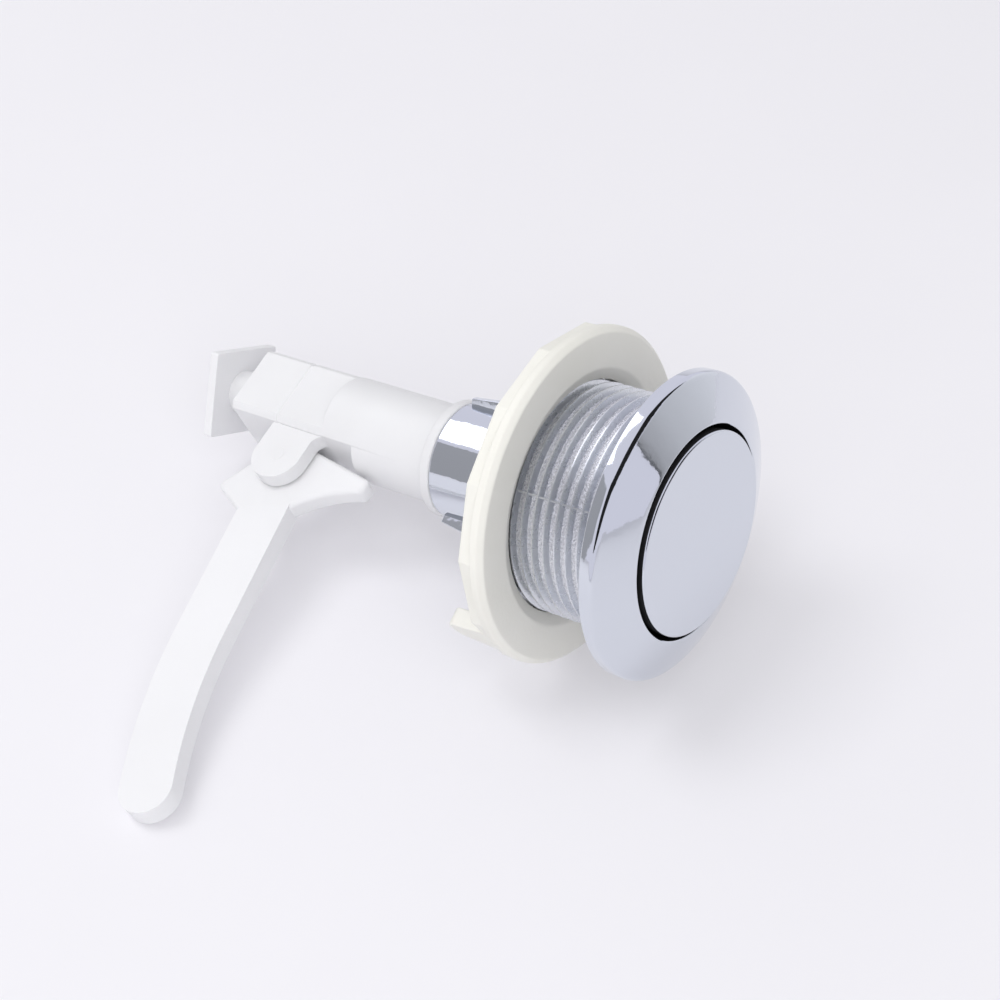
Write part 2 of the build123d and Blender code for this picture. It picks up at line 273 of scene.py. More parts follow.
# %% From a bmesh in millimetres to a finished piece
MM = 0.001
MERGE_DISTANCE = 0.0005
SHARP_ANGLE = math.radians(40)


def put_in_scene(name, data):
    """Make an object of a mesh, a lamp or a camera, and link it to the scene."""
    made = bpy.data.objects.new(name, data)
    bpy.context.scene.collection.objects.link(made)
    return made


def mesh_object(name, bm, finishes):
    """Make an object of a bmesh, which is freed, and give it its finishes."""
    mesh = bpy.data.meshes.new(name)
    bm.to_mesh(mesh)
    bm.free()
    for finish in finishes:
        mesh.materials.append(finish)
    return put_in_scene(name, mesh)


def finish_piece(name, bm, body, node, finishes):
    """Make the object, let it ride on its body and stand for its CAD node."""
    bmesh.ops.remove_doubles(bm, verts=bm.verts, dist=MERGE_DISTANCE)
    bmesh.ops.recalc_face_normals(bm, faces=bm.faces)
    for face in bm.faces:
        face.smooth = True
    for edge in bm.edges:
        edge.smooth = edge.calc_face_angle(0.0) < SHARP_ANGLE
    open_edges = sum(edge.is_boundary for edge in bm.edges)
    bmesh.ops.scale(bm, vec=(MM, MM, MM), verts=bm.verts)
    piece = mesh_object(name, bm, finishes)
    even_shading = piece.modifiers.new("even_shading", "WEIGHTED_NORMAL")
    even_shading.keep_sharp = True
    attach(piece, body)
    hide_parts(node)
    print(name, "has", len(piece.data.polygons), "faces and", open_edges, "open edges")
    return piece


# %% [markdown]
# Most of this object is round. A lathe part could be stacked from cylinders, but one spun section
# has no seams and holds every step of the real moulding. The corners of the section stay plain,
# and the ring edges are bevelled after.

# %% Turn a section, find a ring, round it
STEPS_ROUND = 160
NEAR = 0.01


def turn_section(bm, section, closed=True):
    """Spin a section of (radius, height) points once round the Z axis."""
    points = [bm.verts.new((radius, 0.0, height)) for radius, height in section]
    pairs = list(zip(points, points[1:]))
    if closed:
        pairs.append((points[-1], points[0]))
    edges = [bm.edges.new(pair) for pair in pairs]
    bmesh.ops.spin(bm, geom=points + edges, axis=(0, 0, 1), cent=(0, 0, 0),
                   angle=2 * math.pi, steps=STEPS_ROUND, use_merge=True)
    bmesh.ops.remove_doubles(bm, verts=bm.verts, dist=MERGE_DISTANCE)
    bmesh.ops.recalc_face_normals(bm, faces=bm.faces)


def ring_edges(bm, radius, height):
    """Edges of the level circle at that radius and height."""
    def on_ring(point):
        away = abs(math.hypot(point.co.x, point.co.y) - radius)
        return away < NEAR and abs(point.co.z - height) < NEAR

    return [edge for edge in bm.edges if all(on_ring(point) for point in edge.verts)]


def round_edges(bm, edges, width, segments=3):
    """Bevel edges to a quarter round."""
    bmesh.ops.bevel(bm, geom=edges, offset=width, segments=segments, profile=0.5,
                    affect="EDGES", clamp_overlap=True, material=-1)


def shallow_arc(start, end, rise, count=8):
    """Points from start to end along a line that bulges to its left by the rise."""
    (x0, y0), (x1, y1) = start, end
    length = math.hypot(x1 - x0, y1 - y0)
    left = (-(y1 - y0) / length, (x1 - x0) / length)
    points = []
    for step in range(count + 1):
        share = step / count
        bulge = 4 * rise * share * (1 - share)
        points.append((x0 + (x1 - x0) * share + left[0] * bulge,
                       y0 + (y1 - y0) * share + left[1] * bulge))
    return points


# %% [markdown]
# The thread is a ridge wound round the barrel. Rings would be simpler, but only a helix shows
# turns that climb and run out. A short section is spun many times round while each step also
# moves along the axis. The winding starts inside the bezel and runs past the barrel's end, and
# two cuts with a plane leave the run-out of a real thread.

# %% Wind the thread
THREAD_CREST, THREAD_ROOT, BARREL_END = 18.75, 17.85, -24.5
PITCH, CREST_WIDTH, FLANK_WIDTH, THREAD_TURNS, STEPS_PER_TURN = 2.0, 0.22, 0.42, 14, 120
RIDGE_BITE, RUN_OUT, HIDDEN_START = 0.3, 0.3, 0.2
RIDGE_ROOT = THREAD_ROOT - RIDGE_BITE
ridge_half = CREST_WIDTH / 2 + FLANK_WIDTH

housing = bmesh.new()
ridge_section = [
    (RIDGE_ROOT, ridge_half), (THREAD_ROOT, ridge_half), (THREAD_CREST, CREST_WIDTH / 2),
    (THREAD_CREST, -CREST_WIDTH / 2), (THREAD_ROOT, -ridge_half), (RIDGE_ROOT, -ridge_half),
]
ridge_points = [housing.verts.new((radius, 0.0, height + PITCH)) for radius, height in ridge_section]
ridge_edges = [housing.edges.new(pair) for pair in zip(ridge_points, ridge_points[1:] + ridge_points[:1])]
bmesh.ops.spin(housing, geom=ridge_points + ridge_edges, axis=(0, 0, 1), cent=(0, 0, 0),
               angle=-2 * math.pi * THREAD_TURNS, dvec=(0, 0, -PITCH / STEPS_PER_TURN),
               steps=STEPS_PER_TURN * THREAD_TURNS)
for cut_height, outward in ((BARREL_END + RUN_OUT, -1), (HIDDEN_START, 1)):
    bmesh.ops.bisect_plane(housing, geom=housing.verts[:] + housing.edges[:] + housing.faces[:],
                           plane_co=(0, 0, cut_height), plane_no=(0, 0, outward), clear_outer=True)
bmesh.ops.holes_fill(housing, edges=[edge for edge in housing.edges if edge.is_boundary])
print("thread ridge has", len(housing.faces), "faces")

# %% [markdown]
# The two halves of the mould meet along the barrel. There the thread is bridged by a thin fin
# from root to crest, once on each side. Two narrow boxes are all that it takes. The housing wears
# four finishes, numbered in the order of its list: bright plate, which is 0 and needs no setting,
# then grainy ground, painted shade in the recess and satin flank.

# %% Fins on the parting line
PARTING_ANGLE, FIN_WIDTH, FIN_SETBACK, FIN_END_GAP = 303.0, 0.28, 0.15, 0.6
GROUND, RECESS, FLANK = 1, 2, 3
fin_size = (THREAD_CREST - RIDGE_ROOT - FIN_SETBACK, FIN_WIDTH, -BARREL_END - FIN_END_GAP)
fin_middle = ((THREAD_CREST + RIDGE_ROOT - FIN_SETBACK) / 2, 0, BARREL_END / 2)

for angle in (PARTING_ANGLE, PARTING_ANGLE + 180):
    fin = bmesh.ops.create_cube(housing, size=1.0)["verts"]
    bmesh.ops.scale(housing, vec=fin_size, verts=fin)
    bmesh.ops.translate(housing, vec=fin_middle, verts=fin)
    turn = Matrix.Rotation(math.radians(angle), 3, "Z")
    bmesh.ops.rotate(housing, matrix=turn, cent=(0, 0, 0), verts=fin)
for face in housing.faces:
    face.material_index = FLANK
print("thread and fins have", len(housing.faces), "faces")

# %% [markdown]
# The housing is one moulding: the sloping bezel that shows on the lid, the recess for the button,
# the barrel, its floor with the spring on it, and the collar that guides the stem. One section
# turned once gives all of these, in the same mesh as the thread. The slope bulges by a tenth of a
# millimetre, which bends the line where it mirrors the horizon.

# %% Turn the bezel, barrel and collar
BEZEL_RADIUS, RIM_HEIGHT, BEZEL_HEIGHT, SLOPE_BULGE = 24.5, 2.2, 5.5, 0.1
OPENING_RADIUS, RECESS_FLOOR, BARREL_BORE, FLOOR_TOP = 17.0, -1.4, 15.45, -22.0
COLLAR_RADIUS, COLLAR_BORE, COLLAR_END = 9.7, 8.6, -38.9
UNSHADED_LIP, WALL_SLACK, FLOOR_SLACK, ROOT_SLACK = 0.7, 0.002, 0.1, 0.05

slope = shallow_arc((BEZEL_RADIUS, RIM_HEIGHT), (OPENING_RADIUS, BEZEL_HEIGHT), -SLOPE_BULGE)
turn_section(housing, [
    (THREAD_ROOT, 0.0), (BEZEL_RADIUS, 0.0), *slope, (OPENING_RADIUS, RECESS_FLOOR),
    (BARREL_BORE, RECESS_FLOOR), (BARREL_BORE, FLOOR_TOP), (COLLAR_BORE, FLOOR_TOP),
    (COLLAR_BORE, COLLAR_END), (COLLAR_RADIUS, COLLAR_END), (COLLAR_RADIUS, BARREL_END),
    (THREAD_ROOT, BARREL_END),
])
for radius, height, width in ((BEZEL_RADIUS, RIM_HEIGHT, 0.5), (BEZEL_RADIUS, 0.0, 0.3),
                              (OPENING_RADIUS, BEZEL_HEIGHT, 0.35), (COLLAR_RADIUS, COLLAR_END, 0.25),
                              (THREAD_ROOT, BARREL_END, 0.3)):
    round_edges(housing, ring_edges(housing, radius, height), width)
for face in housing.faces:
    middle = face.calc_center_median()
    distance = math.hypot(middle.x, middle.y)
    in_height = FLOOR_TOP - FLOOR_SLACK < middle.z < BEZEL_HEIGHT - UNSHADED_LIP
    if middle.z < 0 and abs(distance - THREAD_ROOT) < ROOT_SLACK:
        face.material_index = GROUND
    # Faces deep in the recess and the barrel, below the lip, get the painted shade.
    elif in_height and distance < OPENING_RADIUS - WALL_SLACK:
        face.material_index = RECESS
print("housing has", len(housing.faces), "faces")

# %% [markdown]
# Four ribs brace the collar against the barrel's floor, two on each side of the mould's parting
# plane. Each is a flat outline drawn upright, thickened and turned to its angle, the way such
# ribs are cut in a mould. The helper that thickens an outline serves the stem, the lever and the
# nut's wings too.


# %% Thicken an outline, and find its edges
def points_of(made):
    """The points among the parts that an operator made."""
    return [part for part in made if isinstance(part, bmesh.types.BMVert)]


def slab(bm, outline, thickness, start):
    """Thicken an outline of (x, z) points along Y from the start, and give its points."""
    points = [bm.verts.new((x, start, z)) for x, z in outline]
    face = bm.faces.new(points)
    lifted = points_of(bmesh.ops.extrude_face_region(bm, geom=[face])["geom"])
    bmesh.ops.translate(bm, vec=(0, thickness, 0), verts=lifted)
    return points + lifted


def cross_edges(verts, x, z):
    """Edges along Y, among these points, that stand at one corner of an outline."""
    corner = {point for point in verts
              if point.is_valid and math.hypot(point.co.x - x, point.co.z - z) < NEAR}
    return [edge for edge in {edge for point in corner for edge in point.link_edges}
            if all(point in corner for point in edge.verts)]


def sharp_edges(faces, degrees=30):
    """Edges of these faces where the surface turns sharply."""
    edges = {edge for face in faces for edge in face.edges}
    return [edge for edge in edges if edge.calc_face_angle(0.0) > math.radians(degrees)]


# %% Ribs on the collar
RIB_SPREAD, RIB_WIDTH, RIB_LOW, RIB_HIGH, RIB_SETBACK = 73.5, 1.3, 1.2, 3.0, 0.8
RIB_BITE, RIB_ROOT_BITE, RIB_SOFTNESS = 0.6, 0.5, 0.2
rib_inside = COLLAR_RADIUS - RIB_BITE
rib_foot, rib_root = COLLAR_END + RIB_SETBACK, BARREL_END + RIB_ROOT_BITE
rib_outline = [(rib_inside, rib_foot), (COLLAR_RADIUS + RIB_LOW, rib_foot),
               (COLLAR_RADIUS + RIB_HIGH, rib_root), (rib_inside, rib_root)]

for side in (0, 180):
    for spread in (-RIB_SPREAD, RIB_SPREAD):
        before = set(housing.faces)
        rib = slab(housing, rib_outline, RIB_WIDTH, -RIB_WIDTH / 2)
        turn = Matrix.Rotation(math.radians(PARTING_ANGLE + side + spread), 3, "Z")
        bmesh.ops.rotate(housing, matrix=turn, cent=(0, 0, 0), verts=rib)
        round_edges(housing, sharp_edges(set(housing.faces) - before), RIB_SOFTNESS)
finish_piece("bezel_shell", housing, "housing", "bezel_body",
             [bright_chrome, grainy_chrome, recess_painted_shade, satin_chrome])

# %% [markdown]
# The button is a plated disc that stands a little proud of the bezel's lip, with a gap all round
# it that reads as a black line. Its face is crowned by less than a tenth of a millimetre, which
# is what makes the reflection drift across it. Its side, its underside and the hub below, which
# plugs into the stem, wear the same painted shade as the recess.

# %% Turn the button
BUTTON_RADIUS, BUTTON_TOP, BUTTON_UNDER, BUTTON_CROWN = 16.25, 6.2, 4.1, 0.08
HUB_RADIUS, HUB_END, BUTTON_ROUND, UNDER_ROUND, SHADED_SIDE = 6.65, -4.9, 0.35, 0.2, 1
crown_edge = BUTTON_TOP - BUTTON_CROWN

button = bmesh.new()
crown = [(BUTTON_RADIUS * share, BUTTON_TOP - BUTTON_CROWN * share**2)
         for share in (0, 0.2, 0.4, 0.6, 0.8, 1)]
turn_section(button, [
    *crown, (BUTTON_RADIUS, BUTTON_UNDER), (HUB_RADIUS, BUTTON_UNDER), (HUB_RADIUS, HUB_END), (0, HUB_END),
], closed=False)
round_edges(button, ring_edges(button, BUTTON_RADIUS, crown_edge), BUTTON_ROUND, 5)
round_edges(button, ring_edges(button, BUTTON_RADIUS, BUTTON_UNDER), UNDER_ROUND)
# The side, underside and hub get painted shade, as the recess does.
for face in button.faces:
    if face.calc_center_median().z < crown_edge - BUTTON_ROUND:
        face.material_index = SHADED_SIDE
finish_piece("button_cap", button, "plunger", "push_button", [bright_chrome, recess_painted_shade])

# %% [markdown]
# The stem starts as a tube that slides in the collar, with a flange that stops it. Tube, flange
# and the closed end share one axis, so they are one turned section.

# %% Turn the stem's tube
STEM_RADIUS, STEM_BORE, SLEEVE_TOP, SLEEVE_END, FLAT_TOP = 8.35, 6.75, -62.8, -82.6, -56.1
FLANGE_RADIUS, FLANGE_TOP, FLANGE_END, WEB_TOP = 9.8, -39.0, -40.8, -55.6

stem = bmesh.new()
turn_section(stem, [
    (0, WEB_TOP), (STEM_BORE, WEB_TOP), (STEM_BORE, BUTTON_UNDER), (STEM_RADIUS, BUTTON_UNDER),
    (STEM_RADIUS, FLANGE_TOP), (FLANGE_RADIUS, FLANGE_TOP), (FLANGE_RADIUS, FLANGE_END),
    (STEM_RADIUS, FLANGE_END), (STEM_RADIUS, SLEEVE_TOP), (0, SLEEVE_TOP),
], closed=False)
for radius, height, width in ((FLANGE_RADIUS, FLANGE_TOP, 0.3), (FLANGE_RADIUS, FLANGE_END, 0.3),
                              (STEM_RADIUS, SLEEVE_TOP, 0.25)):
    round_edges(stem, ring_edges(stem, radius, height), width)
print("tube has", len(stem.faces), "faces")

# %% [markdown]
# On the lever's side the end of the tube is cut flat, to make room for the lever's stop wing. A
# boolean would do it, but two cuts with planes are cleaner: one marks the height, and one takes
# away what stands out below it. The opening has an upright and a level part, so a line across its
# corner lets both be filled as flat faces.

# %% Cut the tube's flat
SLEEVE_FLAT, SEAM_STEP, ON_PLANE = 6.35, 0.02, 0.001
tube_flat = SLEEVE_FLAT + SEAM_STEP
bmesh.ops.bisect_plane(stem, geom=stem.verts[:] + stem.edges[:] + stem.faces[:],
                       plane_co=(0, 0, FLAT_TOP), plane_no=(0, 0, 1))
low_faces = [face for face in stem.faces if face.calc_center_median().z < FLAT_TOP - NEAR]
low_edges = {edge for face in low_faces for edge in face.edges}
low_points = {point for face in low_faces for point in face.verts if point.co.z < FLAT_TOP - NEAR}
bmesh.ops.bisect_plane(stem, geom=[*low_points, *low_edges, *low_faces],
                       plane_co=(tube_flat, 0, 0), plane_no=(1, 0, 0), clear_outer=True)
rim = [edge for edge in stem.edges if edge.is_boundary]
corners = {point for edge in rim for point in edge.verts
           if abs(point.co.x - tube_flat) < ON_PLANE and abs(point.co.z - FLAT_TOP) < ON_PLANE}
bmesh.ops.edgenet_fill(stem, edges=[*rim, stem.edges.new(corners)])
print("open edges after the cut:", sum(edge.is_boundary for edge in stem.edges))

# %% [markdown]
# Below the tube the stem has four flats. A disc of the tube's radius, trimmed by four planes, has
# exactly that outline. It is pulled up in stages, and one short stage drawn in a little leaves
# the line that crosses the sleeve.

# %% Trim a disc to four flats and pull up the sleeve
LINE_DEPTH, LINE_WIDTH, LINE_DROP, SLEEVE_BITE, SLEEVE_SOFTNESS = 0.12, 0.8, 9.5, 0.4, 0.3
line_low = SLEEVE_TOP - LINE_DROP - LINE_WIDTH / 2
line_high = SLEEVE_TOP - LINE_DROP + LINE_WIDTH / 2
drawn_in = 1 - LINE_DEPTH / SLEEVE_FLAT
tube_faces = set(stem.faces)
bmesh.ops.create_circle(stem, cap_ends=True, segments=STEPS_ROUND, radius=STEM_RADIUS,
                        matrix=Matrix.Translation((0, 0, SLEEVE_END)))
for direction in ((1, 0, 0), (-1, 0, 0), (0, 1, 0), (0, -1, 0)):
    disc = set(stem.faces) - tube_faces
    disc_parts = list({part for face in disc for part in [face, *face.edges, *face.verts]})
    bmesh.ops.bisect_plane(stem, geom=disc_parts, plane_co=Vector(direction) * SLEEVE_FLAT,
                           plane_no=direction, clear_outer=True)
cap = bottom = next(iter(set(stem.faces) - tube_faces))
for height, size in ((line_low, 1), (line_low + LINE_DEPTH, drawn_in), (line_high - LINE_DEPTH, 1),
                     (line_high, 1 / drawn_in), (SLEEVE_TOP + SLEEVE_BITE, 1)):
    made = bmesh.ops.extrude_face_region(stem, geom=[cap])["geom"]
    lifted = points_of(made)
    if cap.is_valid and cap is not bottom:
        bmesh.ops.delete(stem, geom=[cap], context="FACES_ONLY")
    cap = next(part for part in made if isinstance(part, bmesh.types.BMFace))
    bmesh.ops.translate(stem, vec=(0, 0, height - lifted[0].co.z), verts=lifted)
    bmesh.ops.scale(stem, vec=(size, size, 1), verts=lifted)
bmesh.ops.recalc_face_normals(stem, faces=stem.faces)
round_edges(stem, sharp_edges(set(stem.faces) - tube_faces, 60), SLEEVE_SOFTNESS)
print("stem has", len(stem.faces), "faces with its sleeve")

# %% [markdown]
# Two ears on one side of the sleeve hold the lever's pin. Their outline is drawn with plain
# corners. Bevelling three of the corners gives the round end and the hollow fillet, which is
# quicker to change than an outline full of arcs.

# %% Ears for the lever
PIVOT = (11.8, -68.7)
EAR_RADIUS, EAR_INSIDE, EAR_THICKNESS, EAR_FILLET, EAR_BITE = 4.7, 2.2, 2.8, 1.8, 0.5
EAR_SOFTNESS, BEVEL_SLACK = 0.4, 0.01
ear_low, ear_high, ear_reach = PIVOT[1] - EAR_RADIUS, PIVOT[1] + EAR_RADIUS, PIVOT[0] + EAR_RADIUS
ear_root = SLEEVE_FLAT - EAR_BITE
ear_outline = [(ear_root, ear_low), (ear_reach, ear_low), (ear_reach, ear_high), (SLEEVE_FLAT, ear_high),
               (SLEEVE_FLAT, ear_high + EAR_FILLET), (ear_root, ear_high + EAR_FILLET)]

for start in (EAR_INSIDE, -EAR_INSIDE - EAR_THICKNESS):
    before = set(stem.faces)
    ear = slab(stem, ear_outline, EAR_THICKNESS, start)
    round_edges(stem, cross_edges(ear, SLEEVE_FLAT, ear_high), EAR_FILLET - BEVEL_SLACK, 8)
    round_end = cross_edges(ear, ear_reach, ear_low) + cross_edges(ear, ear_reach, ear_high)
    round_edges(stem, round_end, EAR_RADIUS - BEVEL_SLACK, 12)
    round_edges(stem, sharp_edges(set(stem.faces) - before), EAR_SOFTNESS)
finish_piece("plunger_tube", stem, "plunger", "plunger_stem", [natural_plastic])

# %% [markdown]
# The pin is a short round rod through ears and lever, with its ends a hair proud of the ears. A
# cone with equal radii is a cylinder, and a small bevel at both ends makes it a moulded one.

# %% Pivot pin
PIN_RADIUS, PIN_HALF_LENGTH, PIN_SOFTNESS = 1.3, 5.06, 0.1

pin = bmesh.new()
lay_down = Matrix.Translation((PIVOT[0], 0, PIVOT[1])) @ Matrix.Rotation(math.radians(90), 4, "X")
bmesh.ops.create_cone(pin, cap_ends=True, segments=48, radius1=PIN_RADIUS, radius2=PIN_RADIUS,
                      depth=2 * PIN_HALF_LENGTH, matrix=lay_down)
round_edges(pin, sharp_edges(pin.faces), PIN_SOFTNESS)
finish_piece("hinge_pin", pin, "plunger", "pivot_pin", [natural_plastic])

# %% [markdown]
# The lever's blade is a flat strip, straight at first and then gently bent. It is drawn flat,
# along X from the pivot: a line across the blade is pulled out straight, swept round the bend,
# and pulled on once more for the tip. Then the strip gets its thickness, the tip its round and
# the edges their softness, and the blade is lifted to its angle.

# %% Draw the blade
BLADE_WIDTH, BLADE_THICKNESS, BLADE_STRAIGHT = 9.3, 3.6, 32.6
BEND_RADIUS, BEND_ANGLE, LIFT_ANGLE = 90.0, math.radians(18), math.radians(9.2)
BEND_STEPS, TIP_SLACK, BLADE_SOFTNESS = 14, 0.03, 1.2
half_width = BLADE_WIDTH / 2
tip_round = half_width - TIP_SLACK


def pull_on(bm, edges, step):
    """Pull a line of edges along, and give the new line's edges and points."""
    made = bmesh.ops.extrude_edge_only(bm, edges=edges)["geom"]
    points = points_of(made)
    bmesh.ops.translate(bm, vec=step, verts=points)
    lines = [part for part in made if isinstance(part, bmesh.types.BMEdge)]
    return [line for line in lines if all(point in points for point in line.verts)], points


lever = bmesh.new()
line = [lever.verts.new((0, -BLADE_THICKNESS / 2, side * half_width)) for side in (-1, 1)]
front, front_points = pull_on(lever, [lever.edges.new(line)], (BLADE_STRAIGHT, 0, 0))
swept = bmesh.ops.spin(lever, geom=front + front_points, axis=(0, 1, 0),
                       cent=(BLADE_STRAIGHT, 0, BEND_RADIUS), angle=-BEND_ANGLE,
                       steps=BEND_STEPS)["geom_last"]
front = [part for part in swept if isinstance(part, bmesh.types.BMEdge)]
tip_step = (tip_round * math.cos(BEND_ANGLE), 0, tip_round * math.sin(BEND_ANGLE))
_, tip_points = pull_on(lever, front, tip_step)
tips = [(point.co.x, point.co.z) for point in tip_points]
thickened = points_of(bmesh.ops.extrude_face_region(lever, geom=lever.faces[:])["geom"])
bmesh.ops.translate(lever, vec=(0, BLADE_THICKNESS, 0), verts=thickened)
for tip in tips:
    round_edges(lever, cross_edges(lever.verts, *tip), tip_round, 10)
bmesh.ops.recalc_face_normals(lever, faces=lever.faces)
round_edges(lever, sharp_edges(lever.faces, 60), BLADE_SOFTNESS, 5)
lift = Matrix.Rotation(-LIFT_ANGLE, 3, "Y")
bmesh.ops.rotate(lever, matrix=lift, cent=(0, 0, 0), verts=lever.verts)
bmesh.ops.translate(lever, vec=(PIVOT[0], 0, PIVOT[1]), verts=lever.verts)
print("blade has", len(lever.faces), "faces")

# %% [markdown]
# The lever's head fills the gap between the ears. Two wings grow out of it, flush with the blade:
# a long one leans towards the tube and stops the lever when it is up, and a short one meets the
# sleeve when it is folded down.

# %% Head and stop wings
HEAD_RADIUS, HEAD_THICKNESS, HEAD_SOFTNESS, WING_ROUND = 5.05, 3.64, 1.1, 1.0
STOP_HEEL, STOP_TIP, STOP_CORNER = (6.81, PIVOT[1]), (9.55, -51.8), (12.15, -51.8)
STOP_ROOT, STOP_HOLLOW = (18.95, -62.83), 1.0
FOLD_FOOT, FOLD_TIP, FOLD_ROOT = (9.275, -73.07), (19.15, -78.77), (22.42, -71.69)
BLADE_MIDDLE = (21.2, -67.2)
hollow_back = shallow_arc(STOP_CORNER, STOP_ROOT, -STOP_HOLLOW)
stop_wing = [PIVOT, STOP_HEEL, STOP_TIP, *hollow_back, BLADE_MIDDLE]
fold_wing = [PIVOT, FOLD_FOOT, FOLD_TIP, FOLD_ROOT, BLADE_MIDDLE]

before = set(lever.faces)
bmesh.ops.create_cone(lever, cap_ends=True, segments=64, radius1=HEAD_RADIUS, radius2=HEAD_RADIUS,
                      depth=HEAD_THICKNESS, matrix=lay_down)
for outline, corners in ((stop_wing, (STOP_TIP, STOP_CORNER)), (fold_wing, (FOLD_TIP,))):
    wing = slab(lever, outline, HEAD_THICKNESS, -HEAD_THICKNESS / 2)
    for corner in corners:
        round_edges(lever, cross_edges(wing, *corner), WING_ROUND, 5)
bmesh.ops.recalc_face_normals(lever, faces=lever.faces)
round_edges(lever, sharp_edges(set(lever.faces) - before, 60), HEAD_SOFTNESS, 5)
finish_piece("side_lever", lever, "lever", "lever_arm", [natural_plastic])

# %% [markdown]
# The rod sits in the sleeve and ends in a thin square foot that stands on its corner. The plate
# is a cube pressed flat and turned by 45 degrees, and the rod a plain cylinder that runs into it.

# %% Rod and foot plate
ROD_RADIUS, ROD_TOP, ROD_BITE = 3.8, -57.6, 0.5
FOOT_TOP, FOOT_THICKNESS, FOOT_SIDE, FOOT_CORNER, FOOT_SOFTNESS = -87.8, 1.7, 15.0, 0.6, 0.2
rod_length = ROD_TOP - FOOT_TOP + ROD_BITE

rod = bmesh.new()
plate = bmesh.ops.create_cube(rod, size=1.0)["verts"]
bmesh.ops.scale(rod, vec=(FOOT_SIDE, FOOT_SIDE, FOOT_THICKNESS), verts=plate)
upright = [edge for edge in rod.edges
           if abs(edge.verts[0].co.z - edge.verts[1].co.z) > FOOT_THICKNESS / 2]
round_edges(rod, upright, FOOT_CORNER, 4)
round_edges(rod, sharp_edges(rod.faces, 60), FOOT_SOFTNESS)
on_corner = Matrix.Rotation(math.radians(45), 3, "Z")
bmesh.ops.rotate(rod, matrix=on_corner, cent=(0, 0, 0), verts=rod.verts)
bmesh.ops.translate(rod, vec=(0, 0, FOOT_TOP - FOOT_THICKNESS / 2), verts=rod.verts)
bmesh.ops.create_cone(rod, cap_ends=True, segments=64, radius1=ROD_RADIUS, radius2=ROD_RADIUS,
                      depth=rod_length, matrix=Matrix.Translation((0, 0, ROD_TOP - rod_length / 2)))
finish_piece("foot_rod", rod, "plunger", "push_rod", [natural_plastic])

# %% [markdown]
# The return spring is round wire in a coil, with one closed turn at each end so that it stands
# level. The wire is a small circle, swept three times: a flat turn, the open turns, a flat turn.
# The button squeezes it on its way down.

# %% Coil the spring
SPRING_RADIUS, WIRE_RADIUS, OPEN_TURNS, STEPS_PER_COIL = 11.0, 0.58, 4, 40
SPRING_HEIGHT, BUTTON_TRAVEL = BUTTON_UNDER - FLOOR_TOP, 5.0

spring = bmesh.new()
wire_start = Matrix.Translation((SPRING_RADIUS, 0, FLOOR_TOP + WIRE_RADIUS))
upright_wire = wire_start @ Matrix.Rotation(math.radians(90), 4, "X")
bmesh.ops.create_circle(spring, cap_ends=True, segments=12, radius=WIRE_RADIUS, matrix=upright_wire)
open_rise = (SPRING_HEIGHT - 2 * WIRE_RADIUS - 4 * WIRE_RADIUS) / OPEN_TURNS
sweep = spring.faces[:]
for turns, rise in ((1, 2 * WIRE_RADIUS), (OPEN_TURNS, open_rise), (1, 2 * WIRE_RADIUS)):
    sweep = bmesh.ops.spin(spring, geom=sweep, axis=(0, 0, 1), cent=(0, 0, 0),
                           angle=2 * math.pi * turns, dvec=(0, 0, rise / STEPS_PER_COIL),
                           steps=STEPS_PER_COIL * turns)["geom_last"]
coil_spring = finish_piece("coil_spring", spring, "housing", "return_spring", [spring_steel])
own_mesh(coil_spring)

# %% [markdown]
# The lock nut has a round front rim with a bevelled edge and a mouth that opens towards the lid.
# Behind the rim the outline changes to fourteen flats for the fingers. The rim is turned. For the
# flats, a circle with fourteen corners is bridged to the round bore, and the ring that this makes
# is pulled back.

# %% Turn the rim and bridge the grip
NUT_FACE, RIM_BACK, NUT_BACK, NUT_RADIUS = -15.3, -17.4, -19.5, 27.4
NUT_BORE, MOUTH_RADIUS, MOUTH_DEPTH, NUT_CHAMFER, RIM_OVERLAP = 18.95, 20.9, 1.0, 0.9, 0.6
NUT_SIDES, FIRST_CORNER, CORNER_CUTS = 14, math.radians(8.0), 7
GRIP_SETBACK, GRIP_BITE, GRIP_SOFTNESS = 0.05, 0.3, 0.25
chamfer_radius, chamfer_back = NUT_RADIUS - NUT_CHAMFER, NUT_FACE - NUT_CHAMFER
grip_radius = NUT_RADIUS - GRIP_SETBACK

nut = bmesh.new()
turn_section(nut, [
    (MOUTH_RADIUS, NUT_FACE), (chamfer_radius, NUT_FACE), (NUT_RADIUS, chamfer_back),
    (NUT_RADIUS, RIM_BACK), (NUT_BORE, RIM_BACK - RIM_OVERLAP), (NUT_BORE, NUT_FACE - MOUTH_DEPTH),
])
for radius, height, width in ((MOUTH_RADIUS, NUT_FACE, 0.3), (chamfer_radius, NUT_FACE, 0.25),
                              (NUT_RADIUS, chamfer_back, 0.25), (NUT_RADIUS, RIM_BACK, 0.2)):
    round_edges(nut, ring_edges(nut, radius, height), width)
before = set(nut.faces)
grip_place = Matrix.Translation((0, 0, RIM_BACK + GRIP_BITE)) @ Matrix.Rotation(FIRST_CORNER, 4, "Z")
grip = bmesh.ops.create_circle(nut, segments=NUT_SIDES, radius=grip_radius, matrix=grip_place)["verts"]
grip_edges = list({edge for point in grip for edge in point.link_edges})
bmesh.ops.subdivide_edges(nut, edges=grip_edges, cuts=CORNER_CUTS)
bmesh.ops.create_circle(nut, segments=NUT_SIDES * (CORNER_CUTS + 1), radius=NUT_BORE, matrix=grip_place)
bmesh.ops.bridge_loops(nut, edges=[edge for edge in nut.edges if edge.is_wire])
ring = list(set(nut.faces) - before)
pulled = points_of(bmesh.ops.extrude_face_region(nut, geom=ring)["geom"])
bmesh.ops.translate(nut, vec=(0, 0, NUT_BACK - RIM_BACK - GRIP_BITE), verts=pulled)
bmesh.ops.recalc_face_normals(nut, faces=nut.faces)
